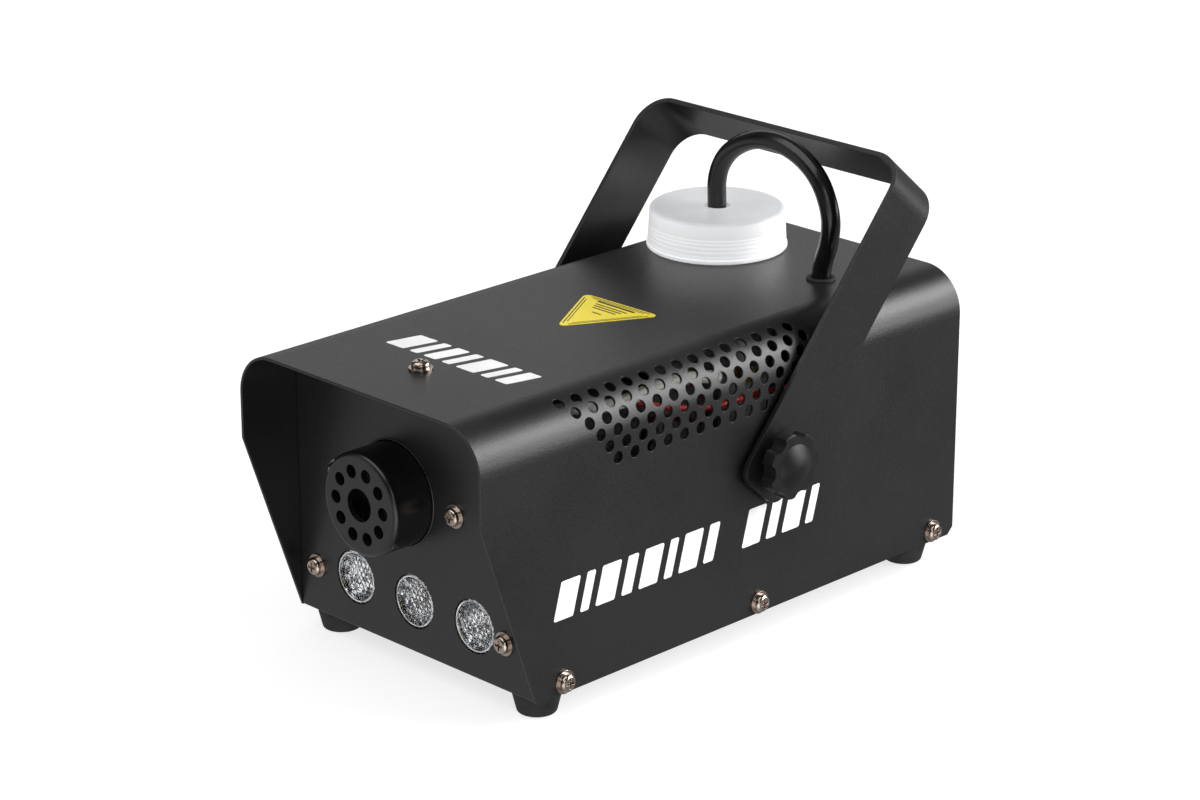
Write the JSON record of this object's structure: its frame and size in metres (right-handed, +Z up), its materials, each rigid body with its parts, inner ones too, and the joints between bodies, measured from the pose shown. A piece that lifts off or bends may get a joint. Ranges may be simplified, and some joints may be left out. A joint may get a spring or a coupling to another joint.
{
  "type": "fog machine",
  "caption": "Compact fog machine: folded black housing with hooded front nozzle, lamp lenses, swing handle, screw-cap fluid bottle and hose.",
  "frame": {"origin": "on the standing surface under the feet, at the middle of the machine's length and width", "axes": "+X across the machine, -Y towards the nozzle end, +Y towards the rear panel, +Z up"},
  "size_m": [0.15, 0.2422, 0.1604],
  "materials": {
    "black_paint": "fine textured black powder coat, semi-matt",
    "screw_metal": "nickel plated, slightly warm",
    "black_rubber": "matt",
    "black_plastic": "satin moulded",
    "brass": "turned",
    "clear_lens": "clear faceted",
    "board_green": "solder-masked board",
    "led_yellow": "phosphor",
    "spacer_white": "nylon",
    "zinc_steel": "zinc plated",
    "cast_aluminium": "cast",
    "insulation_white": "glass fibre blanket",
    "white_plastic": "moulded",
    "coil_red": "enamelled winding",
    "hose_white": "milky tube",
    "hose_black": "satin",
    "bottle_white": "translucent",
    "cap_white": "milky translucent",
    "foam_grey": "closed foam",
    "nylon_black": "nylon",
    "fuse_glass": "clear with plated ends",
    "rocker_red": "moulded",
    "lamp_green": "tinted",
    "terminal_green": "moulded",
    "wire_red": "soft sheath",
    "sleeve_white": "braided glass sleeve",
    "wire_black": "soft sheath",
    "wire_earth": "soft sheath"
  },
  "bodies": {
    "housing": {"top_cover": "black_paint", "chassis": "black_paint", "cover_screws": "screw_metal", "panel_screws": "screw_metal", "rubber_feet": "black_rubber", "foot_screws": "screw_metal", "nozzle_shroud": "black_plastic", "nozzle_tip": "brass", "led_lenses": "clear_lens", "led_holders": "black_plastic", "led_board": "board_green", "led_emitters": "led_yellow", "board_spacers": "spacer_white", "heater_bracket": "zinc_steel", "heater_block": "cast_aluminium", "heater_insulation": "insulation_white", "heater_stand": "zinc_steel", "heater_terminals": "zinc_steel", "thermostats": "cast_aluminium", "fluid_fitting": "brass", "pump_tube": "white_plastic", "pump_spring": "zinc_steel", "pump_yoke": "zinc_steel", "pump_coil": "coil_red", "pump_bracket": "zinc_steel", "pump_fittings": "brass", "pressure_hose": "hose_white", "feed_hose": "hose_black", "hose_joiner": "brass", "hose_grommet": "black_rubber", "bottle_cradle": "black_plastic", "pivot_washers": "nylon_black", "pivot_nuts": "zinc_steel", "inlet_body": "black_plastic", "inlet_pins": "brass", "switch_frame": "black_plastic", "remote_socket": "black_plastic", "indicator_lens": "lamp_green", "control_board": "board_green", "board_transformer": "zinc_steel", "terminal_block": "terminal_green", "red_wires": "wire_red", "white_sleeve": "sleeve_white", "black_wires": "wire_black", "earth_wire": "wire_earth"},
    "handle": {"handle_strap": "black_paint"},
    "knob_right": {"knob_right": "black_plastic", "knob_stud_right": "zinc_steel"},
    "knob_left": {"knob_left": "black_plastic", "knob_stud_left": "zinc_steel"},
    "bottle": {"bottle": "bottle_white", "intake_hose": "hose_black", "pickup_filter": "brass"},
    "cap_liner": {"cap_liner": "foam_grey"},
    "cap": {"bottle_cap": "cap_white"},
    "fuse_drawer": {"fuse_drawer": "black_plastic", "fuse": "fuse_glass"},
    "rocker": {"switch_rocker": "rocker_red"},
    "plunger": {"pump_plunger": "zinc_steel"}
  },
  "joints": [
    {"name": "handle_swing", "type": "hinge", "parent": "housing", "child": "handle", "pos_m": [0, 0.016, 0.0655], "axis": [1, 0, 0], "range_deg": [-54, 97.5]},
    {"name": "knob_right_turn", "type": "hinge", "parent": "housing", "child": "knob_right", "pos_m": [0.07, 0.016, 0.0655], "axis": [1, 0, 0], "continuous": true},
    {"name": "knob_left_turn", "type": "hinge", "parent": "housing", "child": "knob_left", "pos_m": [-0.07, 0.016, 0.0655], "axis": [-1, 0, 0], "continuous": true},
    {"name": "bottle_lift", "type": "slide", "parent": "housing", "child": "bottle", "axis": [0, 0, 1], "range_m": [0, 0.013]},
    {"name": "cap_rise", "type": "slide", "parent": "bottle", "child": "cap_liner", "axis": [0, 0, 1], "range_m": [0, 0.005]},
    {"name": "cap_turn", "type": "hinge", "parent": "cap_liner", "child": "cap", "pos_m": [-0.025, 0.0783, 0.12], "axis": [0, 0, 1], "range_deg": [0, 450]},
    {"name": "fuse_drawer_slide", "type": "slide", "parent": "housing", "child": "fuse_drawer", "axis": [0, 1, 0], "range_m": [0, 0.012]},
    {"name": "switch_rock", "type": "hinge", "parent": "housing", "child": "rocker", "pos_m": [0.03, 0.113, 0.075], "axis": [1, 0, 0], "range_deg": [0, 24]},
    {"name": "plunger_stroke", "type": "slide", "parent": "housing", "child": "plunger", "axis": [0, 0, 1], "range_m": [-0.0015, 0.003], "stiffness_N_per_m": 1500, "deforming": ["pump_spring"]}
  ],
  "couplings": [
    {"joint": "cap_rise", "follows": "cap_turn", "m_per_rad": 0.00063662}
  ]
}
